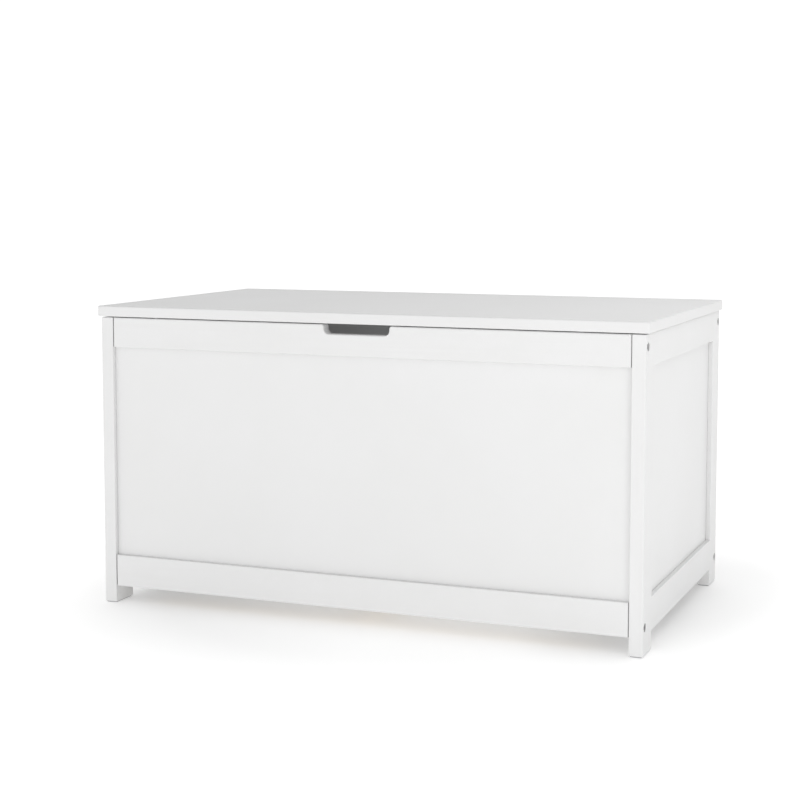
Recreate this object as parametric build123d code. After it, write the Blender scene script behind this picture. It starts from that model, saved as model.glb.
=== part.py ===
from build123d import *
from math import cos, radians, sin, sqrt
import os

# A painted wooden toy box: two framed sides whose stiles run down as legs, framed front and rear
# walls bolted between them, a bottom board on battens, and a lid on two butt hinges with two
# slotted friction stays.
# Millimetres. +X is to the right seen from the front, +Y to the rear, +Z up.
# The origin is on the floor, under the centre of the whole object's box.

# ---- driving dimensions -------------------------------------------------------------------------

# frame
FRAME_W = 844.0            # over the outer faces of the two side frames
FRAME_D = 494.0            # from the front face to the rear face of the stiles
FRAME_TOP = 440.0          # top of stiles and top rails
STOCK = 20.0               # thickness of stiles and rails
STILE_W = 48.0             # stile width, seen from the side
TOP_RAIL_H = 45.0
BOTTOM_RAIL_H = 48.0
FOOT_H = 27.0              # clear height under the bottom rails
STILE_ROUND = 2.0          # rounding of the stiles' outer corners
RAIL_ROUND = 1.0           # rounding of the rails' long edges, the stiles' inner corners and the
                           # side frames' openings
RAIL_END_ROUND = 2.5       # rounding of the front and rear rails' ends, on the outer face
SHADOW_GAP_W = 0.9         # open joint between a rail's end and the stile, seen from outside
SHADOW_GAP_DEPTH = 5.0
FOOT_CHAMFER = 0.7
GLIDE_T = 1.5
GLIDE_INSET = 1.5
GLIDE_CHAMFER = 0.5

# finger notch in the front top rail
NOTCH_W = 102.0
NOTCH_DEPTH = 14.0
NOTCH_FOOT_R = 8.0         # inner corners
NOTCH_LIP_R = 4.0          # where the notch runs out into the rail's top edge
NOTCH_ROUND = 2.0          # rounding of the notch's front edge

# panels in grooves
PANEL_T = 6.0
PANEL_RECESS = 7.0         # from the frame's outer face to the panel's outer face
GROOVE_DEPTH = 7.0
PANEL_END_GAP = 0.5        # between a panel's edge and the floor of its groove
GROOVE_SIDE_GAP = 0.1      # on each face of a panel in its groove

# bottom
BOARD_T = 6.0
BOARD_GAP = 0.5            # around the bottom board
BATTEN = 20.0              # square section
BATTEN_LIFT = 2.0          # battens start this far above the rails' lower edge
BATTEN_END_GAP = 50.0      # from a batten's end to the side frame
BEARER_W = 30.0
BEARER_END_GAP = 0.2

# lid
LID_T = 16.0
LID_GAP = 1.6              # between the frame's top and the lid, filled by the hinge leaves
LID_SIDE_OVERHANG = 5.0
LID_FRONT_OVERHANG = 3.0
LID_CORNER_R = 3.0
LID_TOP_ROUND = 2.5
LID_BOTTOM_ROUND = 1.2
BUMPER_R = 5.0
BUMPER_H = 1.2
BUMPER_ROUND = 0.6
BUMPER_X = 330.0

# hinges
HINGE_X = 270.0            # centre of each hinge
HINGE_L = 60.0
KNUCKLES = 5
KNUCKLE_R = 2.5
KNUCKLE_GAP = 0.3          # along the pin, on each side between neighbouring knuckles
KNUCKLE_OFFSET = 3.0       # pin axis behind the rear face of the frame
PIN_R = 1.5
PIN_HEAD_R = 2.2
PIN_HEAD_T = 0.8
LEAF_T = 0.7
LEAF_W = 21.5              # from the pin axis to the leaf's front edge
LEAF_CORNER_R = 2.0
LEAF_SCREW_X = 20.0        # spacing of the three screws in a leaf
LEAF_SCREW_Y = 13.0        # screws in front of the pin axis

# lid stays
STAY_RADIUS = 130.0        # from the hinge axis to the stud, and to the rivet under the lid
STUD_DROP = 29.2           # stud below the hinge axis
RIVET_DROP = 7.6           # rivet below the hinge axis, lid shut
LID_OPEN = 95.0            # degrees
ARM_W = 16.0
ARM_T = 2.0
ARM_X = 394.0              # inner face of the arm, from the middle of the box
ARM_END = 2.0              # arm's end arc centre beyond the slot's
SLOT_W = 6.6
STUD_R = 3.0
STUD_COLLAR_R = 6.0
STAY_CLEARANCE = 0.3       # between the arm and what it slides on
PLATE_T = 2.0
PLATE_L = 46.0
PLATE_H = 20.0
PLATE_SCREW_Y = 16.0
PLATE_CORNER_R = 4.0
WASHER_R = 8.0
WASHER_T = 1.0
NUT_AF = 10.0
NUT_T = 5.0
NUT_COLLAR_T = 1.2         # round end that holds the nylon ring
NUT_COLLAR_R = 4.6
NUT_ROUND = 0.6
STUD_TIP = 1.0
STUD_CHAMFER = 0.6
BRACKET_T = 2.0
BRACKET_L = 30.0
BRACKET_REACH = 22.0
BRACKET_SCREW_X = 13.2      # bracket's screws from the tab's outer face
BRACKET_SCREW_Y = 9.0
RIVET_R = 2.0
RIVET_HEAD_R = 4.0
RIVET_HEAD_T = 1.5
RIVET_HEAD_ROUND = 0.9

# joints of the frame
BOLT_INSET = 10.0          # bolt axis from the front or rear face
TOP_BOLT_DROP = 17.0       # bolt below the top of the frame
BOTTOM_BOLT_RISE = 13.5    # bolt above the bottom rail's lower edge
BOLT_R = 3.0
BOLT_L = 48.0
BOLT_HEAD_R = 5.5
BOLT_HEAD_T = 4.5
BOLT_HEAD_ROUND = 1.0
BOLT_SOCKET_AF = 4.0
BOLT_SOCKET_DEPTH = 3.0
COUNTERBORE_R = 6.25
COUNTERBORE_DEPTH = 6.0
BARREL_R = 5.0
BARREL_L = 14.0
BARREL_FROM_END = 30.0
BARREL_SLOT_W = 1.2
BARREL_SLOT_DEPTH = 1.5
RAIL_DOWEL_R = 3.0
RAIL_DOWEL_IN_STILE = 10.0
RAIL_DOWEL_IN_RAIL = 20.0
TOP_RAIL_DOWEL_DROP = 32.0
BOTTOM_RAIL_DOWEL_RISE = 30.0
SIDE_DOWEL_R = 4.0
SIDE_DOWEL_L = 30.0
TOP_SIDE_DOWEL_DROPS = (11.0, 29.0)
BOTTOM_SIDE_DOWEL_RISES = (10.0, 30.0)
DOWEL_CHAMFER = 0.8

# screws: (shank radius, head radius, length)
LEAF_SCREW = (1.4, 2.6, 14.0)
LID_SCREW = (1.4, 2.6, 12.0)
STAY_SCREW = (1.6, 3.0, 14.0)
BATTEN_SCREW = (1.8, 3.6, 32.0)
BOARD_SCREW = (1.6, 3.2, 16.0)
SCREW_TIP = 1.5            # length of a screw's point
SCREW_POINT_R = 0.1        # radius at the very end of the point
CROSS_L = 1.1              # length and width of each slot of the cross recess, in head radii
CROSS_W = 0.25
SCREW_SINK = 0.1           # head below the surface it sits in
GLIDE_NAIL_R = 1.2
GLIDE_NAIL_L = 12.0
BATTEN_SCREW_X = (-300.0, -100.0, 100.0, 300.0)
BOARD_SCREW_X = (-340.0, -200.0, 200.0, 340.0)

HOLE_GAP = 0.05            # radial, around fasteners, dowels and pins
HOLE_END = 0.25            # beyond the end of a fastener or dowel
NEAR = 0.01                # an edge or corner this close to a place counts as at it

# ---- places worked out from the dimensions ------------------------------------------------------

X_OUT = FRAME_W / 2                     # outer face of the right side frame
X_IN = X_OUT - STOCK                    # its inner face
X_SIDE = X_OUT - STOCK / 2              # middle of its thickness
KNUCKLE_REACH = KNUCKLE_OFFSET + KNUCKLE_R
Y_FRONT = (LID_FRONT_OVERHANG - FRAME_D - KNUCKLE_REACH) / 2
Y_REAR = Y_FRONT + FRAME_D
Y_MID = (Y_FRONT + Y_REAR) / 2
Y_STILE = Y_FRONT + STILE_W             # rear edge of the front stiles
Y_BOLT = Y_FRONT + BOLT_INSET
Z_TOP_RAIL = FRAME_TOP - TOP_RAIL_H     # lower edge of the top rails
Z_BOTTOM_RAIL = FOOT_H + BOTTOM_RAIL_H  # upper edge of the bottom rails
Z_GROOVES = (Z_BOTTOM_RAIL - GROOVE_DEPTH, Z_TOP_RAIL + GROOVE_DEPTH)
Z_PANEL = (Z_GROOVES[0] + PANEL_END_GAP, Z_GROOVES[1] - PANEL_END_GAP)
Z_BOLTS = (FRAME_TOP - TOP_BOLT_DROP, FOOT_H + BOTTOM_BOLT_RISE)
Z_RAIL_DOWELS = (FRAME_TOP - TOP_RAIL_DOWEL_DROP, FOOT_H + BOTTOM_RAIL_DOWEL_RISE)
Z_TOP_SIDE_DOWELS = [FRAME_TOP - drop for drop in TOP_SIDE_DOWEL_DROPS]
Z_BOTTOM_SIDE_DOWELS = [FOOT_H + rise for rise in BOTTOM_SIDE_DOWEL_RISES]
Z_BATTEN = FOOT_H + BATTEN_LIFT
Z_BOARD = Z_BATTEN + BATTEN
Z_BOARD_TOP = Z_BOARD + BOARD_T
Z_LID = FRAME_TOP + LID_GAP
Z_LID_TOP = Z_LID + LID_T
Y_HINGE = Y_REAR + KNUCKLE_OFFSET
Z_HINGE = FRAME_TOP + LID_GAP / 2
BOLT_FACE = X_OUT - COUNTERBORE_DEPTH   # floor of the counterbore

# the stud and the rivet are equally far from the hinge axis, so the arm always turns half as far
# as the lid and its slot always lies over the stud
Y_STUD = Y_HINGE - sqrt(STAY_RADIUS**2 - STUD_DROP**2)
Z_STUD = Z_HINGE - STUD_DROP
Y_RIVET = Y_HINGE - sqrt(STAY_RADIUS**2 - RIVET_DROP**2)
Z_RIVET = Z_HINGE - RIVET_DROP

LEFT_RIGHT = Plane.YZ
FRONT_REAR = Plane(origin=(0, Y_MID, 0), z_dir=(0, 1, 0))


# ---- helpers ------------------------------------------------------------------------------------

def block(x, y, z):
    """A box from its low and high limits along each axis."""
    size = [high - low for low, high in (x, y, z)]
    middle = [(high + low) / 2 for low, high in (x, y, z)]
    return Pos(*middle) * Box(*size)


def rod(radius, start, direction, length):
    """A cylinder from a point, along a direction."""
    along = (Align.CENTER, Align.CENTER, Align.MIN)
    return Plane(origin=start, z_dir=direction) * Cylinder(radius, length, align=along)


def edges_at(shape, along, **place):
    """The edges that run along an axis at a given X, Y or Z."""
    found = shape.edges().filter_by(along)
    for letter, value in place.items():
        found = found.filter_by(lambda edge: abs(getattr(edge.center(), letter) - value) < NEAR)
    return found


def edges_on(shape, plane_letter, value):
    """All the edges that lie in the plane X, Y or Z = value."""
    low_high = [(edge, edge.bounding_box()) for edge in shape.edges()]
    return [edge for edge, box in low_high
            if abs(getattr(box.min, plane_letter) - value) < NEAR
            and abs(getattr(box.max, plane_letter) - value) < NEAR]


def mirrored(shape, *planes):
    """The shape mirrored in each plane in turn."""
    for plane in planes:
        shape = mirror(shape, about=plane)
    return shape


def in_four_corners(shape):
    """A right front piece and its copies at the other three corners."""
    right = [shape, mirrored(shape, FRONT_REAR)]
    return right + [mirrored(piece, LEFT_RIGHT) for piece in right]


def left_and_right(shapes):
    """Pieces on the right and their mirror images on the left."""
    return shapes + [mirrored(piece, LEFT_RIGHT) for piece in shapes]


def screw(kind, at, outwards):
    """A countersunk screw with a cross recess; outwards points out of its head."""
    shank_r, head_r, length = kind
    head_h = head_r - shank_r
    low = (Align.CENTER, Align.CENTER, Align.MAX)
    top = -SCREW_SINK
    body = Pos(0, 0, top) * Cone(shank_r, head_r, head_h, align=low)
    body += Pos(0, 0, top) * Cylinder(shank_r, length - SCREW_TIP, align=low)
    body += Pos(0, 0, top + SCREW_TIP - length) * Cone(SCREW_POINT_R, shank_r, SCREW_TIP, align=low)
    for turn in (0, 90):
        slot = Box(CROSS_L * head_r, CROSS_W * head_r, head_h)
        body -= Rot(0, 0, turn) * Pos(0, 0, top) * slot
    return Plane(origin=at, z_dir=outwards) * body


def screw_hole(kind, at, outwards):
    """The countersunk hole that a screw sits in."""
    shank_r, head_r, length = kind
    low = (Align.CENTER, Align.CENTER, Align.MAX)
    mouth = head_r + SCREW_SINK + HOLE_GAP
    hole = Cone(shank_r + HOLE_GAP, mouth, mouth - shank_r - HOLE_GAP, align=low)
    hole += Cylinder(shank_r + HOLE_GAP, length + HOLE_END, align=low)
    return Plane(origin=at, z_dir=outwards) * hole


def dowel(radius, start, direction, length):
    """A wooden dowel with chamfered ends."""
    pin = rod(radius, start, direction, length)
    return chamfer(pin.edges().filter_by(GeomType.CIRCLE), DOWEL_CHAMFER)


# ---- side frames: stiles, rails, panels ---------------------------------------------------------

def right_side_frame():
    """The right side frame in one piece, its edges rounded; the stiles and rails are cut from it,
    so that the rounding of the opening and of the top runs on from one to the next."""
    whole = block((X_IN, X_OUT), (Y_FRONT, Y_REAR), (GLIDE_T, FRAME_TOP))
    between = (Y_STILE, Y_REAR - STILE_W)
    whole -= block((X_IN, X_OUT), between, (Z_BOTTOM_RAIL, Z_TOP_RAIL))
    whole -= block((X_IN, X_OUT), between, (GLIDE_T, FOOT_H))
    whole = fillet(edges_at(whole, Axis.Z, X=X_OUT, Y=Y_FRONT), STILE_ROUND)
    whole = fillet(edges_at(whole, Axis.Z, X=X_OUT, Y=Y_REAR), STILE_ROUND)
    whole = fillet(edges_at(whole, Axis.Z, X=X_IN, Y=Y_FRONT), RAIL_ROUND)
    whole = fillet(edges_at(whole, Axis.Z, X=X_IN, Y=Y_REAR), RAIL_ROUND)
    outside = [edge for edge in edges_on(whole, "X", X_OUT)
               if Y_STILE - NEAR < edge.center().Y < Y_REAR - STILE_W + NEAR]
    opening = [edge for edge in outside if edge.center().Z < FRAME_TOP - NEAR]
    whole = fillet(opening, RAIL_ROUND)
    return fillet(edges_on(whole, "Z", FRAME_TOP), RAIL_ROUND)


def right_front_stile(side_frame):
    """A stile and leg: grooved for two panels, bored for bolts and dowels."""
    stile = side_frame & block((X_IN, X_OUT), (Y_FRONT, Y_STILE), (GLIDE_T, FRAME_TOP))
    stile = chamfer(edges_on(stile, "Z", GLIDE_T), FOOT_CHAMFER)
    stile -= front_panel_groove((X_IN, X_IN + GROOVE_DEPTH))
    stile -= side_panel_groove((Y_STILE - GROOVE_DEPTH, Y_STILE))
    for z in Z_BOLTS:
        stile -= rod(BOLT_R + HOLE_GAP, (X_IN, Y_BOLT, z), (1, 0, 0), STOCK)
        stile -= rod(COUNTERBORE_R, (BOLT_FACE, Y_BOLT, z), (1, 0, 0), STOCK)
    for z in Z_RAIL_DOWELS:
        depth = RAIL_DOWEL_IN_STILE + HOLE_END
        stile -= rod(RAIL_DOWEL_R + HOLE_GAP, (X_IN, Y_BOLT, z), (1, 0, 0), depth)
    for z in Z_TOP_SIDE_DOWELS + Z_BOTTOM_SIDE_DOWELS:
        depth = SIDE_DOWEL_L / 2 + HOLE_END
        stile -= rod(SIDE_DOWEL_R + HOLE_GAP, (X_SIDE, Y_STILE, z), (0, -1, 0), depth)
    nail = (X_SIDE, Y_FRONT + STILE_W / 2, GLIDE_T)
    return stile - rod(GLIDE_NAIL_R + HOLE_GAP, nail, (0, 0, 1), GLIDE_NAIL_L + HOLE_END)


def front_panel_groove(x):
    """The groove of the front panel, along a stile's inner face."""
    y = Y_FRONT + PANEL_RECESS
    return block(x, (y - GROOVE_SIDE_GAP, y + PANEL_T + GROOVE_SIDE_GAP), Z_GROOVES)


def side_panel_groove(y):
    """The groove of a side panel, along a stile's edge."""
    x = X_OUT - PANEL_RECESS
    return block((x - PANEL_T - GROOVE_SIDE_GAP, x + GROOVE_SIDE_GAP), y, Z_GROOVES)


def right_side_rail(side_frame, z_low, z_high, groove_z, dowel_heights):
    """A side rail between the stiles, grooved for the side panel."""
    y_ends = (Y_STILE, Y_REAR - STILE_W)
    rail = side_frame & block((X_IN, X_OUT), y_ends, (z_low, z_high))
    x = X_OUT - PANEL_RECESS
    rail -= block((x - PANEL_T - GROOVE_SIDE_GAP, x + GROOVE_SIDE_GAP), y_ends, groove_z)
    depth = SIDE_DOWEL_L / 2 + HOLE_END
    for z in dowel_heights:
        hole = rod(SIDE_DOWEL_R + HOLE_GAP, (X_SIDE, Y_STILE, z), (0, 1, 0), depth)
        rail -= hole + mirrored(hole, FRONT_REAR)
    return rail


def right_top_rail(side_frame):
    """The upper side rail; the stay's plate is screwed to its inner face."""
    groove = (Z_TOP_RAIL, Z_GROOVES[1])
    rail = right_side_rail(side_frame, Z_TOP_RAIL, FRAME_TOP, groove, Z_TOP_SIDE_DOWELS)
    for at in plate_screw_places():
        rail -= screw_hole(STAY_SCREW, at, (-1, 0, 0))
    return rail


def right_bottom_rail(side_frame):
    groove = (Z_GROOVES[0], Z_BOTTOM_RAIL)
    return right_side_rail(side_frame, FOOT_H, Z_BOTTOM_RAIL, groove, Z_BOTTOM_SIDE_DOWELS)


def right_panel():
    x = X_OUT - PANEL_RECESS
    reach = GROOVE_DEPTH - PANEL_END_GAP
    return block((x - PANEL_T, x), (Y_STILE - reach, Y_REAR - STILE_W + reach), Z_PANEL)


def side_frame_dowels():
    """Dowels between the side rails and the stiles, at all four corners."""
    start = Y_STILE - SIDE_DOWEL_L / 2
    heights = Z_TOP_SIDE_DOWELS + Z_BOTTOM_SIDE_DOWELS
    pins = [dowel(SIDE_DOWEL_R, (X_SIDE, start, z), (0, 1, 0), SIDE_DOWEL_L) for z in heights]
    return [copy for pin in pins for copy in in_four_corners(pin)]


def foot_glides():
    """A plastic glide with a nail under each leg."""
    x = (X_IN + GLIDE_INSET, X_OUT - GLIDE_INSET)
    y = (Y_FRONT + GLIDE_INSET, Y_STILE - GLIDE_INSET)
    glide = block(x, y, (0, GLIDE_T))
    glide = fillet(glide.edges().filter_by(Axis.Z), GLIDE_INSET)
    glide = chamfer(edges_on(glide, "Z", 0), GLIDE_CHAMFER)
    glide += rod(GLIDE_NAIL_R, (X_SIDE, Y_FRONT + STILE_W / 2, GLIDE_T), (0, 0, 1), GLIDE_NAIL_L)
    return in_four_corners(glide)


# ---- front and rear walls -----------------------------------------------------------------------

def wall_rail_cuts(rail, groove_z, bolt_z, dowel_z):
    """A front rail with its panel groove and its bolt, barrel nut and dowel holes."""
    y = Y_FRONT + PANEL_RECESS
    groove_y = (y - GROOVE_SIDE_GAP, y + PANEL_T + GROOVE_SIDE_GAP)
    rail -= block((-X_IN, X_IN), groove_y, groove_z)
    bolt_depth = BOLT_L - (STOCK - COUNTERBORE_DEPTH) + HOLE_END
    dowel_depth = RAIL_DOWEL_IN_RAIL + HOLE_END
    barrel_front = (X_IN - BARREL_FROM_END, Y_BOLT - BARREL_L / 2 - HOLE_END, bolt_z)
    end_holes = rod(BOLT_R + HOLE_GAP, (X_IN, Y_BOLT, bolt_z), (-1, 0, 0), bolt_depth)
    end_holes += rod(RAIL_DOWEL_R + HOLE_GAP, (X_IN, Y_BOLT, dowel_z), (-1, 0, 0), dowel_depth)
    end_holes += rod(BARREL_R + HOLE_GAP, barrel_front, (0, 1, 0), STOCK)
    return rail - end_holes - mirrored(end_holes, LEFT_RIGHT)


def eased_ends(rail):
    """A front rail with its outer face cut short of the stiles and rounded at both ends."""
    face_end = X_IN - SHADOW_GAP_W
    flat_end = face_end - RAIL_END_ROUND
    round_y = Y_FRONT + RAIL_END_ROUND
    gap = block((face_end, X_IN), (Y_FRONT, Y_FRONT + SHADOW_GAP_DEPTH), (0, FRAME_TOP))
    corner = block((flat_end, face_end), (Y_FRONT, round_y), (0, FRAME_TOP))
    corner -= rod(RAIL_END_ROUND, (flat_end, round_y, 0), (0, 0, 1), FRAME_TOP)
    return rail - gap - corner - mirrored(gap, LEFT_RIGHT) - mirrored(corner, LEFT_RIGHT)


def wall_rail(z_low, z_high, groove_z, bolt_z, dowel_z):
    """A plain front rail, the edges of its outer face rounded."""
    rail = block((-X_IN, X_IN), (Y_FRONT, Y_FRONT + STOCK), (z_low, z_high))
    rail = eased_ends(fillet(edges_at(rail, Axis.X, Y=Y_FRONT), RAIL_ROUND))
    return wall_rail_cuts(rail, groove_z, bolt_z, dowel_z)


def notch_corners(outline, height):
    """The two corners of the notch's outline at a height."""
    return [v for v in outline.vertices()
            if abs(abs(v.X) - NOTCH_W / 2) < NEAR and abs(v.Y - height) < NEAR]


def front_top_rail():
    """The front top rail, with the finger notch in the middle of its top edge."""
    outline = Pos(0, FRAME_TOP - TOP_RAIL_H / 2) * Rectangle(2 * X_IN, TOP_RAIL_H)
    outline -= Pos(0, FRAME_TOP - NOTCH_DEPTH / 2) * Rectangle(NOTCH_W, NOTCH_DEPTH)
    outline = fillet(notch_corners(outline, FRAME_TOP - NOTCH_DEPTH), NOTCH_FOOT_R)
    outline = fillet(notch_corners(outline, FRAME_TOP), NOTCH_LIP_R)
    face_plane = Plane(origin=(0, Y_FRONT, 0), x_dir=(1, 0, 0), z_dir=(0, -1, 0))
    rail = extrude(face_plane * outline, amount=-STOCK)
    for y in (Y_FRONT, Y_FRONT + STOCK):
        upper = [e for e in edges_on(rail, "Y", y)
                 if e.center().Z > FRAME_TOP - NOTCH_DEPTH - NEAR]
        rail = fillet(upper, NOTCH_ROUND)
    rail = eased_ends(fillet(edges_at(rail, Axis.X, Y=Y_FRONT, Z=Z_TOP_RAIL), RAIL_ROUND))
    return wall_rail_cuts(rail, (Z_TOP_RAIL, Z_GROOVES[1]), Z_BOLTS[0], Z_RAIL_DOWELS[0])


def rear_top_rail():
    """The rear top rail; the hinges' frame leaves are screwed to its top edge."""
    groove = (Z_TOP_RAIL, Z_GROOVES[1])
    rail = wall_rail(Z_TOP_RAIL, FRAME_TOP, groove, Z_BOLTS[0], Z_RAIL_DOWELS[0])
    rail = mirrored(rail, FRONT_REAR)
    for at in frame_leaf_screw_places():
        rail -= screw_hole(LEAF_SCREW, at, (0, 0, 1))
    return rail


def front_bottom_rail():
    """The front bottom rail; its batten is screwed to the inner face."""
    groove = (Z_GROOVES[0], Z_BOTTOM_RAIL)
    rail = wall_rail(FOOT_H, Z_BOTTOM_RAIL, groove, Z_BOLTS[1], Z_RAIL_DOWELS[1])
    for at in batten_screw_places():
        rail -= screw_hole(BATTEN_SCREW, at, (0, 1, 0))
    return rail


def front_panel():
    y = Y_FRONT + PANEL_RECESS
    reach = X_IN + GROOVE_DEPTH - PANEL_END_GAP
    return block((-reach, reach), (y, y + PANEL_T), Z_PANEL)


def connector_bolts():
    """Socket head bolts through the stiles into the barrel nuts."""
    bolts = []
    for z in Z_BOLTS:
        bolt = rod(BOLT_R, (BOLT_FACE, Y_BOLT, z), (-1, 0, 0), BOLT_L)
        head = rod(BOLT_HEAD_R, (BOLT_FACE, Y_BOLT, z), (1, 0, 0), BOLT_HEAD_T)
        head = fillet(edges_on(head, "X", BOLT_FACE + BOLT_HEAD_T), BOLT_HEAD_ROUND)
        across_corners = BOLT_SOCKET_AF / 2 / cos(radians(30))
        mouth = Plane(origin=(BOLT_FACE + BOLT_HEAD_T, Y_BOLT, z), z_dir=(1, 0, 0))
        head -= extrude(mouth * RegularPolygon(across_corners, 6), amount=-BOLT_SOCKET_DEPTH)
        bolts += in_four_corners(bolt + head)
    return bolts


def barrel_nuts():
    """Cross dowels in the rails that take the bolts, slotted at the end that shows inside."""
    nuts = []
    for z in Z_BOLTS:
        x = X_IN - BARREL_FROM_END
        nut = rod(BARREL_R, (x, Y_BOLT - BARREL_L / 2, z), (0, 1, 0), BARREL_L)
        nut -= rod(BOLT_R + HOLE_GAP, (x - STOCK, Y_BOLT, z), (1, 0, 0), 2 * STOCK)
        end = Y_BOLT + BARREL_L / 2
        nut -= block((x - STOCK, x + STOCK), (end - BARREL_SLOT_DEPTH, end),
                     (z - BARREL_SLOT_W / 2, z + BARREL_SLOT_W / 2))
        nuts += in_four_corners(nut)
    return nuts


def rail_dowels():
    """Dowels beside the bolts that keep the rails from turning."""
    start = X_IN - RAIL_DOWEL_IN_RAIL
    length = RAIL_DOWEL_IN_RAIL + RAIL_DOWEL_IN_STILE
    pins = [dowel(RAIL_DOWEL_R, (start, Y_BOLT, z), (1, 0, 0), length) for z in Z_RAIL_DOWELS]
    return [copy for pin in pins for copy in in_four_corners(pin)]


# ---- bottom -------------------------------------------------------------------------------------

def batten_screw_places():
    return [(x, Y_FRONT + STOCK + BATTEN, Z_BATTEN + BATTEN / 2) for x in BATTEN_SCREW_X]


def board_screw_places():
    """Screw heads in the bottom board's top face: along both battens and in the bearer's middle."""
    front = Y_FRONT + STOCK + BATTEN / 2
    rear = Y_REAR - STOCK - BATTEN / 2
    on_battens = [(x, y, Z_BOARD_TOP) for y in (front, rear) for x in BOARD_SCREW_X]
    return on_battens + [(0, Y_MID, Z_BOARD_TOP)]


def bearer_screw_places():
    inset = STOCK + BATTEN / 2
    return [(0, Y_FRONT + inset, Z_BOARD), (0, Y_REAR - inset, Z_BOARD)]


def front_batten():
    """A square batten along the front bottom rail, notched in the middle for the bearer."""
    half = X_IN - BATTEN_END_GAP
    low = Y_FRONT + STOCK
    batten = block((-half, half), (low, low + BATTEN), (Z_BATTEN, Z_BOARD))
    notch = BEARER_W / 2 + BEARER_END_GAP
    batten -= block((-notch, notch), (low, low + BATTEN), (Z_BOARD - BATTEN / 2, Z_BOARD))
    for at in batten_screw_places():
        batten -= screw_hole(BATTEN_SCREW, at, (0, 1, 0))
    for at in board_screw_places():
        batten -= screw_hole(BOARD_SCREW, at, (0, 0, 1))
    for at in bearer_screw_places():
        batten -= screw_hole(BOARD_SCREW, at, (0, 0, 1))
    return batten


def centre_bearer():
    """A cross piece under the board's middle, half-lapped onto both battens."""
    half = BEARER_W / 2
    inside = (Y_FRONT + STOCK + BATTEN + BEARER_END_GAP, Y_REAR - STOCK - BATTEN - BEARER_END_GAP)
    over = (Y_FRONT + STOCK + BEARER_END_GAP, Y_REAR - STOCK - BEARER_END_GAP)
    bearer = block((-half, half), inside, (Z_BATTEN, Z_BOARD))
    bearer += block((-half, half), over, (Z_BOARD - BATTEN / 2, Z_BOARD))
    for at in board_screw_places() + bearer_screw_places():
        bearer -= screw_hole(BOARD_SCREW, at, (0, 0, 1))
    return bearer


def bottom_board():
    x = X_IN - BOARD_GAP
    inset = STOCK + BOARD_GAP
    board = block((-x, x), (Y_FRONT + inset, Y_REAR - inset), (Z_BOARD, Z_BOARD_TOP))
    for at in board_screw_places():
        board -= screw_hole(BOARD_SCREW, at, (0, 0, 1))
    return board


def batten_screws():
    front = screws(BATTEN_SCREW, batten_screw_places(), (0, 1, 0))
    return front + [mirrored(piece, FRONT_REAR) for piece in front]


# ---- lid and hinges -----------------------------------------------------------------------------

def lid_board():
    """The lid: one board, rounded all round its edges."""
    x = X_OUT + LID_SIDE_OVERHANG
    lid = block((-x, x), (Y_FRONT - LID_FRONT_OVERHANG, Y_REAR), (Z_LID, Z_LID_TOP))
    lid = fillet(lid.edges().filter_by(Axis.Z), LID_CORNER_R)
    lid = fillet(edges_on(lid, "Z", Z_LID_TOP), LID_TOP_ROUND)
    lid = fillet(edges_on(lid, "Z", Z_LID), LID_BOTTOM_ROUND)
    for at in lid_leaf_screw_places():
        lid -= screw_hole(LID_SCREW, at, (0, 0, -1))
    for at in bracket_screw_places():
        lid -= screw_hole(STAY_SCREW, at, (0, 0, -1))
    return lid


def leaf_screw_places(z):
    y = Y_HINGE - LEAF_SCREW_Y
    return [(side * HINGE_X + step * LEAF_SCREW_X, y, z) for side in (-1, 1) for step in (-1, 0, 1)]


def frame_leaf_screw_places():
    return leaf_screw_places(FRAME_TOP + LEAF_T)


def lid_leaf_screw_places():
    return leaf_screw_places(Z_LID - LEAF_T)


def knuckle_spans(first):
    """X limits of every second knuckle of the right hinge, counted from the given one."""
    pitch = HINGE_L / KNUCKLES
    low = HINGE_X - HINGE_L / 2
    return [(low + i * pitch, low + (i + 1) * pitch) for i in range(first, KNUCKLES, 2)]


def hinge_leaf(z, own, others, screw_holes):
    """A right hinge leaf: a plate with its own knuckles, cut back around the other leaf's."""
    x_ends = (HINGE_X - HINGE_L / 2, HINGE_X + HINGE_L / 2)
    leaf = block(x_ends, (Y_HINGE - LEAF_W, Y_HINGE), z)
    leaf = fillet(edges_at(leaf, Axis.Z, Y=Y_HINGE - LEAF_W), LEAF_CORNER_R)
    beside = KNUCKLE_GAP / 2
    swept = (Y_HINGE - KNUCKLE_R - KNUCKLE_GAP, Y_HINGE)
    for low, high in others:
        leaf -= block((low - beside, high + beside), swept, z)
    for low, high in own:
        start = (low + beside, Y_HINGE, Z_HINGE)
        leaf += rod(KNUCKLE_R, start, (1, 0, 0), high - low - 2 * beside)
    leaf -= rod(PIN_R + HOLE_GAP, (x_ends[0], Y_HINGE, Z_HINGE), (1, 0, 0), HINGE_L)
    for hole in screw_holes:
        leaf -= hole
    return leaf


def right_hinge_frame_leaf():
    holes = [screw_hole(LEAF_SCREW, at, (0, 0, 1)) for at in frame_leaf_screw_places()]
    return hinge_leaf((FRAME_TOP, FRAME_TOP + LEAF_T), knuckle_spans(0), knuckle_spans(1), holes)


def right_hinge_lid_leaf():
    holes = [screw_hole(LID_SCREW, at, (0, 0, -1)) for at in lid_leaf_screw_places()]
    return hinge_leaf((Z_LID - LEAF_T, Z_LID), knuckle_spans(1), knuckle_spans(0), holes)


def right_hinge_pin():
    """The hinge pin, with a head at each end."""
    start = HINGE_X - HINGE_L / 2
    pin = rod(PIN_R, (start, Y_HINGE, Z_HINGE), (1, 0, 0), HINGE_L)
    pin += rod(PIN_HEAD_R, (start - PIN_HEAD_T, Y_HINGE, Z_HINGE), (1, 0, 0), PIN_HEAD_T)
    return pin + rod(PIN_HEAD_R, (start + HINGE_L, Y_HINGE, Z_HINGE), (1, 0, 0), PIN_HEAD_T)


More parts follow.
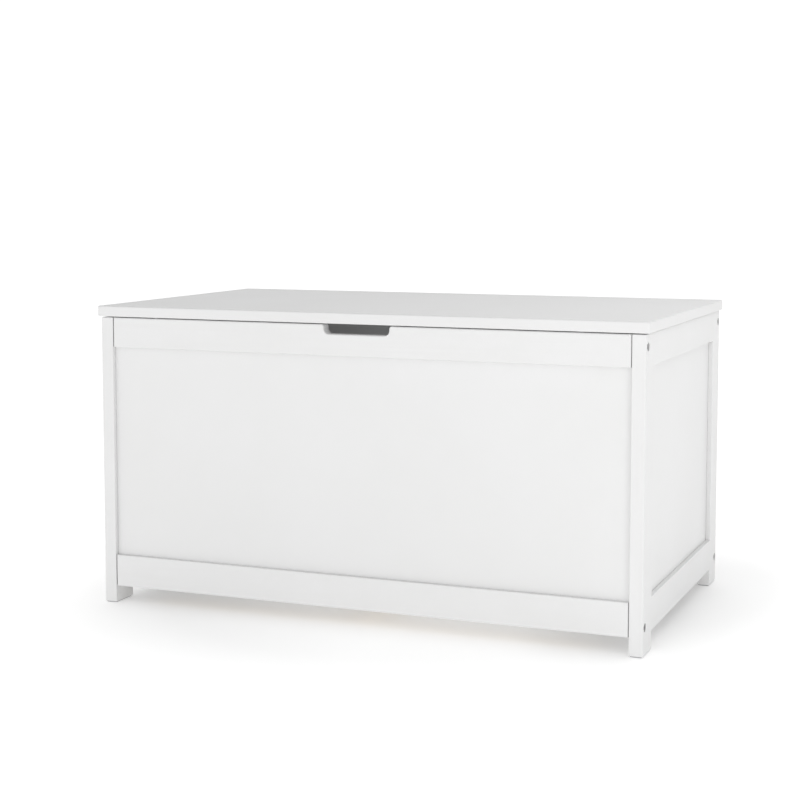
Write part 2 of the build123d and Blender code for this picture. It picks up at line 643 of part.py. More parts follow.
def lid_bumpers():
    """Low rubber buttons on the front top rail."""
    button = rod(BUMPER_R, (BUMPER_X, Y_BOLT, FRAME_TOP), (0, 0, 1), BUMPER_H)
    button = fillet(edges_on(button, "Z", FRAME_TOP + BUMPER_H), BUMPER_ROUND)
    return left_and_right([button])


# ---- lid stays ----------------------------------------------------------------------------------

def stay_reach(lid_angle):
    """Distance from the rivet to the stud at a lid angle, both on one circle about the hinge."""
    rivet_dir = Vector(0, Y_RIVET - Y_HINGE, Z_RIVET - Z_HINGE)
    stud_dir = Vector(0, Y_STUD - Y_HINGE, Z_STUD - Z_HINGE)
    between = rivet_dir.get_angle(stud_dir) + lid_angle
    return 2 * STAY_RADIUS * sin(radians(between / 2))


def right_stay_arm():
    """A flat arm that hangs from the rivet, with a slot for the stud."""
    along = Vector(0, Y_STUD - Y_RIVET, Z_STUD - Z_RIVET).normalized()
    flat = Plane(origin=(ARM_X, Y_RIVET, Z_RIVET), x_dir=along, z_dir=(1, 0, 0))
    slot_start = stay_reach(0) - STAY_CLEARANCE
    slot_end = stay_reach(LID_OPEN) + STAY_CLEARANCE
    slot_mid = (slot_start + slot_end) / 2
    arm_end = slot_end + ARM_END
    outline = Pos(arm_end / 2, 0) * SlotCenterToCenter(arm_end, ARM_W)
    outline -= Pos(slot_mid, 0) * SlotCenterToCenter(slot_end - slot_start, SLOT_W)
    outline -= Circle(RIVET_R + HOLE_GAP)
    return extrude(flat * outline, amount=ARM_T)


def plate_screw_places():
    return [(X_IN - PLATE_T, Y_STUD + side * PLATE_SCREW_Y, Z_STUD) for side in (-1, 1)]


def right_stay_plate():
    """The plate on the side rail's inner face that carries the stud."""
    y = (Y_STUD - PLATE_L / 2, Y_STUD + PLATE_L / 2)
    z = (Z_STUD - PLATE_H / 2, Z_STUD + PLATE_H / 2)
    plate = block((X_IN - PLATE_T, X_IN), y, z)
    plate = fillet(plate.edges().filter_by(Axis.X), PLATE_CORNER_R)
    plate -= rod(STUD_R + HOLE_GAP, (X_IN - PLATE_T, Y_STUD, Z_STUD), (1, 0, 0), PLATE_T)
    for at in plate_screw_places():
        plate -= screw_hole(STAY_SCREW, at, (-1, 0, 0))
    return plate


def right_stay_stud():
    """A shouldered stud: spigot in the plate, collar behind the arm, shank through the slot."""
    plate_face = X_IN - PLATE_T
    collar_face = ARM_X + ARM_T + STAY_CLEARANCE
    tip = ARM_X - STAY_CLEARANCE - WASHER_T - NUT_T - STUD_TIP
    stud = rod(STUD_R, (tip, Y_STUD, Z_STUD), (1, 0, 0), X_IN - tip)
    stud = chamfer(edges_on(stud, "X", tip), STUD_CHAMFER)
    collar = (collar_face, Y_STUD, Z_STUD)
    return stud + rod(STUD_COLLAR_R, collar, (1, 0, 0), plate_face - collar_face)


def right_stay_washer():
    x = ARM_X - STAY_CLEARANCE - WASHER_T
    washer = rod(WASHER_R, (x, Y_STUD, Z_STUD), (1, 0, 0), WASHER_T)
    return washer - rod(STUD_R + HOLE_GAP, (x, Y_STUD, Z_STUD), (1, 0, 0), WASHER_T)


def right_stay_nut():
    """A hexagon lock nut with a rounded nylon end."""
    x = ARM_X - STAY_CLEARANCE - WASHER_T
    seat = Plane(origin=(x, Y_STUD, Z_STUD), z_dir=(-1, 0, 0))
    across_corners = NUT_AF / 2 / cos(radians(30))
    nut = extrude(seat * RegularPolygon(across_corners, 6), amount=NUT_T - NUT_COLLAR_T)
    collar = rod(NUT_COLLAR_R, (x - NUT_T, Y_STUD, Z_STUD), (1, 0, 0), NUT_T)
    nut += fillet(edges_on(collar, "X", x - NUT_T), NUT_ROUND)
    return nut - rod(STUD_R + HOLE_GAP, (x - NUT_T, Y_STUD, Z_STUD), (1, 0, 0), NUT_T)


def bracket_tab_face():
    """The tab's outer face, just inside the arm."""
    return ARM_X - STAY_CLEARANCE


def bracket_screw_places():
    """Screw heads in both brackets' feet, under the lid."""
    x = bracket_tab_face() - BRACKET_SCREW_X
    y_places = (Y_RIVET - BRACKET_SCREW_Y, Y_RIVET + BRACKET_SCREW_Y)
    return [(side * x, y, Z_LID - BRACKET_T) for side in (1, -1) for y in y_places]


def right_stay_bracket():
    """An angle under the lid: a foot with two screws and a tab that holds the rivet."""
    face = bracket_tab_face()
    foot_y = (Y_RIVET - BRACKET_L / 2, Y_RIVET + BRACKET_L / 2)
    foot = block((face - BRACKET_REACH, face), foot_y, (Z_LID - BRACKET_T, Z_LID))
    foot = fillet(edges_at(foot, Axis.Z, X=face - BRACKET_REACH), PLATE_CORNER_R)
    tab_y = (Y_RIVET - ARM_W / 2, Y_RIVET + ARM_W / 2)
    tab = block((face - BRACKET_T, face), tab_y, (Z_RIVET, Z_LID))
    tab += rod(ARM_W / 2, (face - BRACKET_T, Y_RIVET, Z_RIVET), (1, 0, 0), BRACKET_T)
    bracket = foot + tab
    bracket -= rod(RIVET_R + HOLE_GAP, (face - BRACKET_T, Y_RIVET, Z_RIVET), (1, 0, 0), BRACKET_T)
    for at in bracket_screw_places():
        bracket -= screw_hole(STAY_SCREW, at, (0, 0, -1))
    return bracket


def right_stay_rivet():
    """The rivet through the tab and the arm's top end."""
    inner = bracket_tab_face() - BRACKET_T
    outer = ARM_X + ARM_T + STAY_CLEARANCE
    rivet = rod(RIVET_R, (inner, Y_RIVET, Z_RIVET), (1, 0, 0), outer - inner)
    for x, outwards in ((inner, -1), (outer, 1)):
        head = rod(RIVET_HEAD_R, (x, Y_RIVET, Z_RIVET), (outwards, 0, 0), RIVET_HEAD_T)
        rivet += fillet(edges_on(head, "X", x + outwards * RIVET_HEAD_T), RIVET_HEAD_ROUND)
    return rivet


# ---- all the nodes ------------------------------------------------------------------------------

def mirrored_pair(name, shape):
    """A right-hand node and its left-hand mirror image."""
    return {"right_" + name: shape, "left_" + name: mirrored(shape, LEFT_RIGHT)}


def wooden_nodes():
    side_frame = right_side_frame()
    front_stile = right_front_stile(side_frame)
    front_bottom = front_bottom_rail()
    batten = front_batten()
    nodes = {}
    nodes |= mirrored_pair("front_stile", front_stile)
    nodes |= mirrored_pair("rear_stile", mirrored(front_stile, FRONT_REAR))
    nodes |= mirrored_pair("top_rail", right_top_rail(side_frame))
    nodes |= mirrored_pair("bottom_rail", right_bottom_rail(side_frame))
    nodes |= mirrored_pair("panel", right_panel())
    nodes["front_top_rail"] = front_top_rail()
    nodes["rear_top_rail"] = rear_top_rail()
    nodes["front_bottom_rail"] = front_bottom
    nodes["rear_bottom_rail"] = mirrored(front_bottom, FRONT_REAR)
    nodes["front_panel"] = front_panel()
    nodes["rear_panel"] = mirrored(nodes["front_panel"], FRONT_REAR)
    nodes["front_batten"] = batten
    nodes["rear_batten"] = mirrored(batten, FRONT_REAR)
    nodes["centre_bearer"] = centre_bearer()
    nodes["bottom_board"] = bottom_board()
    nodes["lid_board"] = lid_board()
    return nodes


def screws(kind, places, outwards):
    return [screw(kind, at, outwards) for at in places]


def fastener_nodes():
    return {
        "connector_bolts": connector_bolts(),
        "barrel_nuts": barrel_nuts(),
        "rail_dowels": rail_dowels(),
        "side_frame_dowels": side_frame_dowels(),
        "batten_screws": batten_screws(),
        "bearer_screws": screws(BOARD_SCREW, bearer_screw_places(), (0, 0, 1)),
        "bottom_board_screws": screws(BOARD_SCREW, board_screw_places(), (0, 0, 1)),
        "frame_leaf_screws": screws(LEAF_SCREW, frame_leaf_screw_places(), (0, 0, 1)),
        "lid_leaf_screws": screws(LID_SCREW, lid_leaf_screw_places(), (0, 0, -1)),
        "stay_plate_screws": left_and_right(screws(STAY_SCREW, plate_screw_places(), (-1, 0, 0))),
        "stay_bracket_screws": screws(STAY_SCREW, bracket_screw_places(), (0, 0, -1)),
        "foot_glides": foot_glides(),
        "lid_bumpers": lid_bumpers(),
    }


def hardware_nodes():
    nodes = {}
    nodes |= mirrored_pair("hinge_frame_leaf", right_hinge_frame_leaf())
    nodes |= mirrored_pair("hinge_lid_leaf", right_hinge_lid_leaf())
    nodes |= mirrored_pair("hinge_pin", right_hinge_pin())
    nodes |= mirrored_pair("stay_arm", right_stay_arm())
    nodes |= mirrored_pair("stay_plate", right_stay_plate())
    nodes |= mirrored_pair("stay_stud", right_stay_stud())
    nodes |= mirrored_pair("stay_washer", right_stay_washer())
    nodes |= mirrored_pair("stay_nut", right_stay_nut())
    nodes |= mirrored_pair("stay_bracket", right_stay_bracket())
    nodes |= mirrored_pair("stay_rivet", right_stay_rivet())
    return nodes


def write_nodes(nodes):
    """One STEP file per node; a list of identical pieces is written as separate solids."""
    os.makedirs("parts", exist_ok=True)
    for name, shape in nodes.items():
        if isinstance(shape, list):
            shape = Compound(children=shape)
        export_step(shape, "parts/" + name + ".step")


write_nodes(wooden_nodes() | fastener_nodes() | hardware_nodes())
print("hinge axis", Y_HINGE, Z_HINGE, "stay rivet", Y_RIVET, Z_RIVET, "stay stud", Y_STUD, Z_STUD)
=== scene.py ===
"""Looks for the toy box: white satin paint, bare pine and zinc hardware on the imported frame,
standing on a plain pale floor in soft studio light. Metres throughout, in the row frame."""

import math

import bmesh
import bpy
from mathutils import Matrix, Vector


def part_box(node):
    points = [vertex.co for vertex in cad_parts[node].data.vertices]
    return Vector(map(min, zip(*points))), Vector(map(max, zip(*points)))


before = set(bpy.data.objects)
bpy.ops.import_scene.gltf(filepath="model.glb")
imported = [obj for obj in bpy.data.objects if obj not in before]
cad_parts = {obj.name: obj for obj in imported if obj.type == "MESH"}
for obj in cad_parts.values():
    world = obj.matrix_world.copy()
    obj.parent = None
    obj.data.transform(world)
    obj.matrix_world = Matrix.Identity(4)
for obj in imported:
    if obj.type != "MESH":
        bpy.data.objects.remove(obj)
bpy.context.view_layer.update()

MM = 0.001
FULL = (0.0, 1.0)
MIDDLE = (0.35, 0.65)          # a noise spends most of its time between these
WIDE = (0.3, 0.7)              # and nearly all of it between these

# ---------------------------------------------------------------- material building blocks


EDGE_SAMPLES = 4
EDGE_TURN = (0.999, 0.90)      # cosine of the rounded normal's turn, from flat to full edge
# painted shade: an ambient occlusion mask that darkens the colour in joints and corners
PAINTED_SHADE_SAMPLES = 8
PAINTED_SHADE_OPEN = (0.75, 0.15)    # openness to the air, from an open face to a deep joint


class Surface:
    """One procedural material, built up node by node."""

    def __init__(self, name):
        self.material = bpy.data.materials.new(name)
        self.material.use_nodes = True
        self.nodes = self.material.node_tree.nodes
        self.links = self.material.node_tree.links
        self.nodes.clear()
        self.shader = self.nodes.new("ShaderNodeBsdfPrincipled")
        output = self.nodes.new("ShaderNodeOutputMaterial")
        self.links.new(self.shader.outputs["BSDF"], output.inputs["Surface"])
        self.place = self.nodes.new("ShaderNodeTexCoord").outputs["Object"]

    def feed(self, socket, value):
        """Links an output to a socket, or sets the socket to a plain value."""
        if isinstance(value, bpy.types.NodeSocket):
            self.links.new(value, socket)
        else:
            socket.default_value = value

    def stretched(self, factors):
        """The object's own coordinates, multiplied by a factor along each axis."""
        n = self.nodes.new("ShaderNodeMapping")
        self.feed(n.inputs["Vector"], self.place)
        n.inputs["Scale"].default_value = factors
        return n.outputs["Vector"]

    def distance_from(self, point, place=None):
        """The distance from a point, in the object's own coordinates or in scaled ones."""
        n = self.nodes.new("ShaderNodeVectorMath")
        n.operation = "DISTANCE"
        self.feed(n.inputs[0], self.place if place is None else place)
        n.inputs[1].default_value = point
        return n.outputs["Value"]

    def noise(self, scale, detail=3.0, roughness=0.5, distortion=0.0, place=None):
        """A cloudy pattern; the scale is in features a metre."""
        n = self.nodes.new("ShaderNodeTexNoise")
        self.feed(n.inputs["Vector"], self.place if place is None else place)
        n.inputs["Scale"].default_value = scale
        n.inputs["Detail"].default_value = detail
        n.inputs["Roughness"].default_value = roughness
        n.inputs["Distortion"].default_value = distortion
        return n.outputs["Fac"]

    def cells(self, scale, place=None):
        """The distance to the nearest of scattered points."""
        n = self.nodes.new("ShaderNodeTexVoronoi")
        self.feed(n.inputs["Vector"], self.place if place is None else place)
        n.inputs["Scale"].default_value = scale
        return n.outputs["Distance"]

    def remap(self, value, source, target):
        """A value carried from one range to another, and held at the ends."""
        n = self.nodes.new("ShaderNodeMapRange")
        self.feed(n.inputs["Value"], value)
        for socket, number in zip(
            ("From Min", "From Max", "To Min", "To Max"), (*source, *target)
        ):
            self.feed(n.inputs[socket], number)
        return n.outputs["Result"]

    def maths(self, operation, a, b):
        n = self.nodes.new("ShaderNodeMath")
        n.operation = operation
        self.feed(n.inputs[0], a)
        self.feed(n.inputs[1], b)
        return n.outputs[0]

    def colour(self, factor, first, second):
        """A colour between two, by a factor."""
        n = self.nodes.new("ShaderNodeMix")
        n.data_type = "RGBA"
        self.feed(n.inputs["Factor"], factor)
        a, b = [s for s in n.inputs if s.type == "RGBA"]
        self.feed(a, first if isinstance(first, bpy.types.NodeSocket) else (*first, 1.0))
        self.feed(b, second if isinstance(second, bpy.types.NodeSocket) else (*second, 1.0))
        return [s for s in n.outputs if s.type == "RGBA"][0]

    def edges(self, reach):
        """1 on convex and concave edges within reach of the surface, falling to 0 on its flats."""
        bevel = self.nodes.new("ShaderNodeBevel")
        bevel.samples = EDGE_SAMPLES
        bevel.inputs["Radius"].default_value = reach
        plain = self.nodes.new("ShaderNodeNewGeometry")
        dot = self.nodes.new("ShaderNodeVectorMath")
        dot.operation = "DOT_PRODUCT"
        self.links.new(bevel.outputs["Normal"], dot.inputs[0])
        self.links.new(plain.outputs["Normal"], dot.inputs[1])
        return self.remap(dot.outputs["Value"], EDGE_TURN, FULL)

    def painted_corner_shade(self, reach):
        """1 deep in the joints and corners, 0 on open faces: the mask for painted shade where
        joints and corners are shaded.
        """
        n = self.nodes.new("ShaderNodeAmbientOcclusion")
        n.samples = PAINTED_SHADE_SAMPLES
        n.inputs["Distance"].default_value = reach
        return self.remap(n.outputs["AO"], PAINTED_SHADE_OPEN, FULL)

    def bumps(self, *heights):
        """The shader's normal from (height, depth in metres) pairs, one over another."""
        normal = None
        for height, depth in heights:
            n = self.nodes.new("ShaderNodeBump")
            n.inputs["Distance"].default_value = depth
            self.links.new(height, n.inputs["Height"])
            if normal is not None:
                self.links.new(normal, n.inputs["Normal"])
            normal = n.outputs["Normal"]
        self.links.new(normal, self.shader.inputs["Normal"])

    def set(self, **sockets):
        """Shader sockets by name, with _ for a space, as plain numbers or node outputs."""
        for name, value in sockets.items():
            self.feed(self.shader.inputs[name.replace("_", " ")], value)
        return self.material


# ---------------------------------------------------------------- the paints

ALONG = {"x": (0.05, 1.0, 1.0), "y": (1.0, 0.05, 1.0), "z": (1.0, 1.0, 0.05)}
PAINT = (0.80, 0.80, 0.80)
PAINT_CLOUD_WOOD = (0.785, 0.785, 0.782)
PAINT_CLOUD_SHEET = (0.787, 0.787, 0.784)
PAINT_GRAIN = (0.77, 0.768, 0.762)
PAINT_THIN = (0.765, 0.76, 0.75)   # where the edges have worn
# painted shade: the grey that the paint darkens to deep in joints and corners
PAINTED_SHADE_TONE = (0.36, 0.36, 0.36)
PAINT_IOR = 1.47
PAINTED_SHADE_REACH = 1.6 * MM             # how far out of a joint or corner the shade reaches
WEAR_REACH = 1.2 * MM
WEAR_PATCHES = (0.42, 0.68)    # noise values over which the wear sets in along an edge
WEAR_SHARE = 0.5
GRAIN_SHEEN = 0.06             # how much duller the paint is on the raised grain


def painted_wood(name, grain_axis):
    """Satin white on solid wood: the grain shows faintly through the paint along each piece."""
    s = Surface(name)
    fibre = s.stretched(ALONG[grain_axis])
    grain = s.noise(520.0, 4.0, 0.62, 0.4, fibre)
    bands = s.noise(60.0, 3.0, 0.5, 1.2, fibre)
    peel = s.noise(900.0, 2.0, 0.5)
    cloud = s.noise(9.0, 3.0, 0.55)
    patches = s.remap(s.noise(240.0, 4.0), WEAR_PATCHES, FULL)
    wear = s.maths("MULTIPLY", s.edges(WEAR_REACH), patches)
    tone = s.colour(s.remap(cloud, MIDDLE, FULL), PAINT, PAINT_CLOUD_WOOD)
    tone = s.colour(s.remap(bands, (0.5, 0.72), (0.0, 0.35)), tone, PAINT_GRAIN)
    tone = s.colour(s.maths("MULTIPLY", wear, WEAR_SHARE), tone, PAINT_THIN)
    # painted shade: darker in the joints and corners
    tone = s.colour(s.painted_corner_shade(PAINTED_SHADE_REACH), tone, PAINTED_SHADE_TONE)
    dull = s.maths("MULTIPLY", grain, GRAIN_SHEEN)
    sheen = s.maths("ADD", s.remap(peel, WIDE, (0.36, 0.44)), dull)
    s.bumps((bands, 0.10 * MM), (grain, 0.05 * MM), (peel, 0.02 * MM))
    return s.set(Base_Color=tone, Roughness=sheen, IOR=PAINT_IOR)


def painted_sheet(name, peel_depth, sheen_low, sheen_high, scuffs=0.0):
    """Satin white on a smooth board: no grain, a sprayed skin, and faint rubs where hands go."""
    s = Surface(name)
    peel = s.noise(620.0, 3.0, 0.55)
    waves = s.noise(26.0, 2.0, 0.5)
    cloud = s.noise(4.5, 4.0, 0.6)
    tone = s.colour(s.remap(cloud, MIDDLE, FULL), PAINT, PAINT_CLOUD_SHEET)
    # painted shade: darker in the joints and corners
    tone = s.colour(s.painted_corner_shade(PAINTED_SHADE_REACH), tone, PAINTED_SHADE_TONE)
    rub = s.noise(140.0, 5.0, 0.7, 0.0, s.stretched((0.25, 1.0, 1.0)))
    sheen = s.maths(
        "ADD",
        s.remap(peel, WIDE, (sheen_low, sheen_high)),
        s.remap(rub, (0.55, 0.75), (0.0, scuffs)),
    )
    s.bumps((waves, 0.12 * MM), (peel, peel_depth))
    return s.set(Base_Color=tone, Roughness=sheen, IOR=PAINT_IOR)


# ---------------------------------------------------------------- bare wood

PINE_EARLY = (0.70, 0.61, 0.48)
PINE_LATE = (0.60, 0.49, 0.35)
DOWEL_EARLY = (0.64, 0.47, 0.32)
DOWEL_LATE = (0.52, 0.35, 0.21)
RINGS = 9.0                    # how many rings the noise is folded into
PORE_SHADE = 0.62
WOOD_HIGHLIGHT = 1.12
PLAIN_IOR = 1.5


def scaled(colour, factor):
    """A colour made darker or lighter."""
    return tuple(min(1.0, c * factor) for c in colour)


def bare_wood(name, grain_axis, early, late, ring_scale):
    """Sanded, unpainted wood with growth rings, fibres and pores along the piece."""
    s = Surface(name)
    fibre = s.stretched(ALONG[grain_axis])
    rings = s.noise(ring_scale, 2.0, 0.4, 1.6, fibre)
    bands = s.maths("PINGPONG", s.maths("MULTIPLY", rings, RINGS), 1.0)
    fine = s.noise(700.0, 4.0, 0.65, 0.0, fibre)
    cloud = s.noise(14.0, 2.0)
    tone = s.colour(s.remap(bands, (0.15, 0.9), FULL), early, late)
    tone = s.colour(s.remap(fine, (0.55, 0.75), (0.0, 0.4)), tone, scaled(late, PORE_SHADE))
    tone = s.colour(s.remap(cloud, (0.4, 0.7), (0.0, 0.25)), tone, scaled(early, WOOD_HIGHLIGHT))
    s.bumps((bands, 0.08 * MM), (fine, 0.12 * MM))
    return s.set(
        Base_Color=tone,
        Roughness=s.remap(fine, WIDE, (0.58, 0.74)),
        IOR=PLAIN_IOR,
    )


# ---------------------------------------------------------------- metals and plastics

ZINC_DARK = 0.88
SPANGLE_LIGHT = 1.1
# painted shade in the zinc's joints and corners: how far it reaches, and how much of the dark tone
# the deepest corner takes
ZINC_PAINTED_SHADE_REACH = 1.5 * MM
ZINC_PAINTED_SHADE_SHARE = 0.7              # how much of the dull tone the deepest corner takes
OXIDE = (0.045, 0.045, 0.047)
OXIDE_DEEP = (0.028, 0.028, 0.03)
OXIDE_RUBBED = (0.16, 0.155, 0.15)
OXIDE_RUB_REACH = 0.5 * MM
# painted highlight: moulded pieces are lighter along every edge
MOULD_HIGHLIGHT_REACH = 0.4 * MM
MOULD_HIGHLIGHT_SHARE = 0.3
MOULD_PAINTED_HIGHLIGHT = 1.25


def zinc(name, tint, dull, pit_depth):
    """Zinc plating: a fine mottle, faint rolling lines, and painted shade that makes it darker in
    the corners.
    """
    s = Surface(name)
    spangle = s.cells(900.0)
    lines = s.noise(1400.0, 2.0, 0.5, 0.0, s.stretched((1.0, 0.08, 0.08)))
    cloud = s.noise(120.0, 3.0)
    tone = s.colour(s.remap(cloud, MIDDLE, FULL), tint, scaled(tint, ZINC_DARK))
    tone = s.colour(s.remap(spangle, (0.1, 0.6), (0.0, 0.3)), tone, scaled(tint, SPANGLE_LIGHT))
    # painted shade: darker towards the dull tone in the joints and corners
    deep = s.maths("MULTIPLY", s.painted_corner_shade(ZINC_PAINTED_SHADE_REACH), ZINC_PAINTED_SHADE_SHARE)
    tone = s.colour(deep, tone, dull)
    s.bumps((lines, 0.012 * MM), (spangle, pit_depth))
    return s.set(
        Base_Color=tone,
        Metallic=1.0,
        Roughness=s.remap(cloud, WIDE, (0.28, 0.42)),
    )


def black_oxide(name):
    """Blackened steel, a little lighter where its edges have been rubbed."""
    s = Surface(name)
    grit = s.noise(1500.0, 3.0, 0.6)
    rubbed = s.maths("MULTIPLY", s.edges(OXIDE_RUB_REACH), s.remap(grit, (0.42, 0.62), FULL))
    tone = s.colour(s.remap(s.noise(260.0), MIDDLE, FULL), OXIDE, OXIDE_DEEP)
    tone = s.colour(rubbed, tone, OXIDE_RUBBED)
    s.bumps((grit, 0.03 * MM))
    return s.set(
        Base_Color=tone,
        Roughness=s.remap(grit, WIDE, (0.5, 0.66)),
        Specular_IOR_Level=0.25,
    )


def moulded(name, light, dark, rough_low, rough_high, grit_scale, grit_depth):
    """Moulded plastic or rubber with a fine texture, a faint swirl in its colour, and a painted
    highlight along its edges.
    """
    s = Surface(name)
    swirl = s.noise(160.0, 4.0, 0.6, 1.0)
    grit = s.noise(grit_scale, 2.0, 0.6)
    tone = s.colour(s.remap(swirl, MIDDLE, FULL), light, dark)
    # painted highlight: lighter along every edge
    edge_highlight = s.maths("MULTIPLY", s.edges(MOULD_HIGHLIGHT_REACH), MOULD_HIGHLIGHT_SHARE)
    tone = s.colour(edge_highlight, tone, scaled(light, MOULD_PAINTED_HIGHLIGHT))
    s.bumps((grit, grit_depth))
    return s.set(
        Base_Color=tone,
        Roughness=s.remap(grit, WIDE, (rough_low, rough_high)),
        IOR=PLAIN_IOR,
    )


# painted_sheet takes its skin's depth, the two ends of its sheen and how far rubs dull it;
# bare_wood ends with its rings a metre; zinc ends with its pits' depth; moulded takes its two
# colours, the two ends of its sheen, and its grit's features a metre and depth

rail_paints = {axis: painted_wood("satin_on_wood_" + axis, axis) for axis in ALONG}
panel_paint = painted_sheet("satin_on_panel", 0.03 * MM, 0.36, 0.44)
lid_paint = painted_sheet("satin_on_lid", 0.02 * MM, 0.48, 0.56, 0.08)
bottom_paint = painted_sheet("thin_satin_on_bottom", 0.05 * MM, 0.42, 0.52, 0.10)
batten_wood = bare_wood("bare_batten", "x", PINE_EARLY, PINE_LATE, 26.0)
bearer_wood = bare_wood("bare_bearer", "y", PINE_EARLY, PINE_LATE, 26.0)
dowel_wood = bare_wood("bare_dowel", "x", DOWEL_EARLY, DOWEL_LATE, 60.0)
# zinc's third colour is the dark tone of its painted shade in the corners
hardware_zinc = zinc("zinc_sheet", (0.64, 0.65, 0.66), (0.22, 0.22, 0.23), 0.01 * MM)
screw_zinc = zinc("zinc_screw", (0.60, 0.61, 0.63), (0.16, 0.16, 0.17), 0.02 * MM)
bolt_black = black_oxide("black_oxide")
nylon = moulded("nylon", (0.78, 0.77, 0.72), (0.72, 0.71, 0.66), 0.38, 0.5, 1200.0, 0.02 * MM)
rubber = moulded("rubber", (0.72, 0.72, 0.71), (0.64, 0.64, 0.63), 0.5, 0.68, 1600.0, 0.03 * MM)
glide = moulded("glide", (0.42, 0.42, 0.43), (0.36, 0.36, 0.37), 0.45, 0.6, 1100.0, 0.04 * MM)


def grain_axis_of(node):
    """The axis a piece is longest along, which is the way its wood was cut."""
    low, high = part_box(node)
    size = high - low
    return "xyz"[max(range(3), key=lambda i: size[i])]


def finish_of(node, slot):
    if slot == "painted_rail":
        return rail_paints[grain_axis_of(node)]
    if slot == "batten_wood":
        return batten_wood if grain_axis_of(node) == "x" else bearer_wood
    return {
        "painted_panel": panel_paint,
        "painted_lid": lid_paint,
        "painted_bottom": bottom_paint,
        "dowel_wood": dowel_wood,
        "hardware_steel": hardware_zinc,
        "screw_steel": screw_zinc,
        "bolt_steel": bolt_black,
        "washer_nylon": nylon,
        "bumper_rubber": rubber,
        "glide_plastic": glide,
    }[slot]


for node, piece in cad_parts.items():
    for holder in piece.material_slots:
        slot = holder.material.name.split(".")[0]
        holder.link = "OBJECT"
        holder.material = finish_of(node, slot)

# ---------------------------------------------------------------- floor, light and camera

FLOOR_HALF = 9.0
FLOOR_TONES = ((0.90, 0.90, 0.90), (0.92, 0.92, 0.92))
# painted light and shadow: the floor glows though it is no lamp, and its glow is weaker under the
# box, near it and beside it on the right, where shadow falls
GLOW_UNDER = (0.17, 0.305)     # the floor's own light under the box, on the left and on the right
GLOW_UNDER_X = (-0.40, 0.05)   # X over which it goes from one to the other
GLOW_AWAY = 0.48               # and away from the box
GLOW_REACH = (0.40, 0.66)      # distances from the middle over which it rises
PAINTED_SHADOW_STRENGTH = (0.17, 0.0)        # how much weaker it is in a long patch beside the box on the right
PAINTED_SHADOW_SHAPE = (1.0, 0.4, 1.0)
PAINTED_SHADOW_AT = (0.44, 0.06, 0.0)   # the patch's middle, in coordinates scaled by its shape
PAINTED_SHADOW_REACH = (0.08, 0.26)     # distances from there over which the loss fades
SURROUND = 0.26                # light from every side
SURROUND_MORE = {              # and how much more from the front, the rear and the left
    (0.0, -1.0, 0.0): 0.88,
    (0.0, 1.0, 0.0): 0.84,
    (-1.0, 0.0, 0.0): 0.29,
}
SOFTBOXES = {                  # place, what it faces, size in metres, watts
    "softbox_front": ((0.9, -0.7, 1.1), (0.45, -0.2, 0.45), 0.6, 0.8),
    "softbox_side": ((0.8, 0.05, 1.25), (0.5, 0.0, 0.45), 0.6, 1.7),
    "softbox_low": ((1.7, -1.3, 0.25), (0.0, -0.1, 0.22), 0.4, 2.2),
}
INNER_FILL = 0.25              # watts, so that the finger notch isn't black
INNER_FILL_AT = (0.0, 0.0, 0.25)
INNER_FILL_R = 0.05

SENSOR = 36.0                  # millimetres
FOCAL_LENGTH = 74.3625         # millimetres
CAMERA_SHIFT = -0.08           # of the picture's width, downwards
CAMERA_AT = (0.9375, -2.4015, 0.6273)
CAMERA_DIP = 4.93              # degrees below level
CAMERA_TURN = 21.99            # degrees to the left of straight at the front


def make_floor():
    """A plain pale floor that glows a little, though it is no lamp, with painted shadow: its glow
    is weaker under and near the box and in a patch beside it on the right.
    """
    s = Surface("floor_white")
    haze = s.noise(1.3, 3.0)
    split = s.nodes.new("ShaderNodeSeparateXYZ")
    s.feed(split.inputs[0], s.place)
    # painted shadow: the glow is weakest under and near the box and rises away from it
    under = s.remap(split.outputs["X"], GLOW_UNDER_X, GLOW_UNDER)
    glow = s.remap(s.distance_from((0.0, 0.0, 0.0)), GLOW_REACH, (under, GLOW_AWAY))
    # painted shadow: a long patch of weaker glow beside the box on the right
    painted_shadow = s.remap(
        s.distance_from(PAINTED_SHADOW_AT, s.stretched(PAINTED_SHADOW_SHAPE)), PAINTED_SHADOW_REACH, PAINTED_SHADOW_STRENGTH
    )
    s.set(
        Base_Color=s.colour(haze, *FLOOR_TONES),
        Roughness=0.9,
        Emission_Color=(1.0, 1.0, 1.0, 1.0),
        Emission_Strength=s.maths("SUBTRACT", glow, painted_shadow),
    )
    mesh = bpy.data.meshes.new("floor")
    build = bmesh.new()
    bmesh.ops.create_grid(build, x_segments=8, y_segments=8, size=FLOOR_HALF)
    build.to_mesh(mesh)
    build.free()
    floor = bpy.data.objects.new("floor", mesh)
    bpy.context.scene.collection.objects.link(floor)
    floor.data.materials.append(s.material)


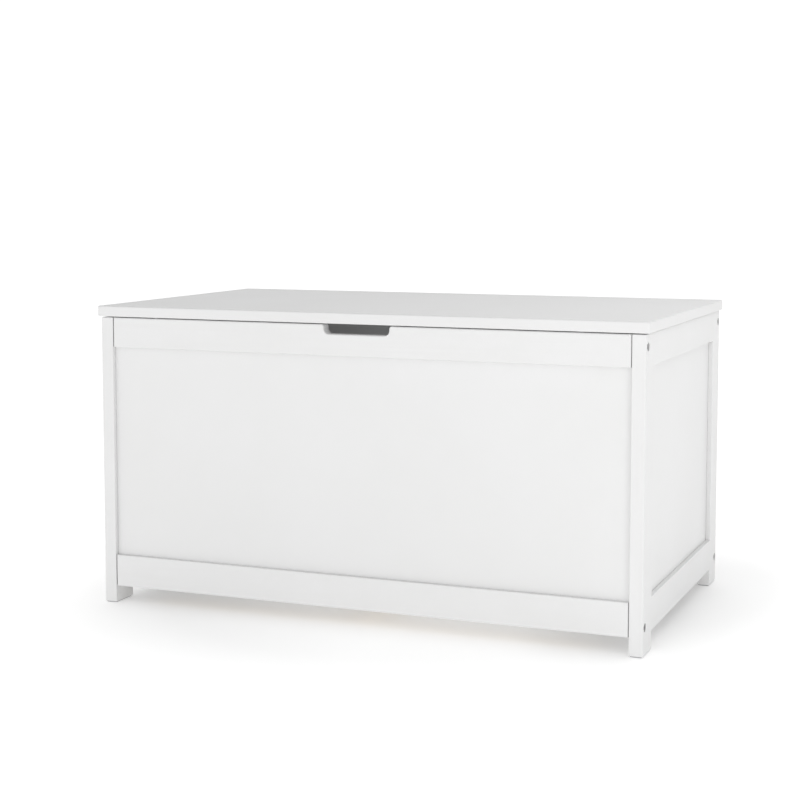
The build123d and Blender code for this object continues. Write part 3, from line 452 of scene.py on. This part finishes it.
def make_surround():
    """A soft white surround that lights the front most, and is plain white to look at."""
    world = bpy.data.worlds.new("surround")
    bpy.context.scene.world = world
    world.use_nodes = True
    nodes, links = world.node_tree.nodes, world.node_tree.links

    def maths(operation, a, b):
        n = nodes.new("ShaderNodeMath")
        n.operation = operation
        for socket, value in zip(n.inputs, (a, b)):
            if isinstance(value, bpy.types.NodeSocket):
                links.new(value, socket)
            else:
                socket.default_value = value
        return n.outputs[0]

    way = nodes.new("ShaderNodeTexCoord").outputs["Generated"]
    light = SURROUND
    for direction, more in SURROUND_MORE.items():
        toward = nodes.new("ShaderNodeVectorMath")
        toward.operation = "DOT_PRODUCT"
        links.new(way, toward.inputs[0])
        toward.inputs[1].default_value = direction
        lobe = maths("MULTIPLY", maths("MAXIMUM", toward.outputs["Value"], 0.0), more)
        light = maths("ADD", lobe, light)
    seen = nodes.new("ShaderNodeLightPath").outputs["Is Camera Ray"]
    links.new(maths("MAXIMUM", light, seen), nodes["Background"].inputs["Strength"])
    nodes["Background"].inputs["Color"].default_value = (1.0, 1.0, 1.0, 1.0)


def place_lamp(name, lamp, place):
    holder = bpy.data.objects.new(name, lamp)
    bpy.context.scene.collection.objects.link(holder)
    holder.location = place
    holder.visible_camera = False
    return holder


def make_lamps():
    for name, (place, target, size, watts) in SOFTBOXES.items():
        lamp = bpy.data.lights.new(name, "AREA")
        lamp.shape = "SQUARE"
        lamp.size = size
        lamp.energy = watts
        holder = place_lamp(name, lamp, place)
        aim = Vector(target) - Vector(place)
        holder.rotation_euler = aim.to_track_quat("-Z", "Y").to_euler()
    inner = bpy.data.lights.new("inner_fill", "POINT")
    inner.shadow_soft_size = INNER_FILL_R
    inner.energy = INNER_FILL
    place_lamp("inner_fill", inner, INNER_FILL_AT)


make_floor()
make_surround()
make_lamps()

camera = bpy.data.cameras.new("camera")
camera.sensor_width = SENSOR
camera.lens = FOCAL_LENGTH
camera.shift_y = CAMERA_SHIFT
eye = bpy.data.objects.new("camera", camera)
bpy.context.scene.collection.objects.link(eye)
eye.location = CAMERA_AT
eye.rotation_euler = (math.radians(90.0 - CAMERA_DIP), 0.0, math.radians(CAMERA_TURN))
bpy.context.scene.camera = eye
bpy.context.scene.view_settings.view_transform = "Standard"
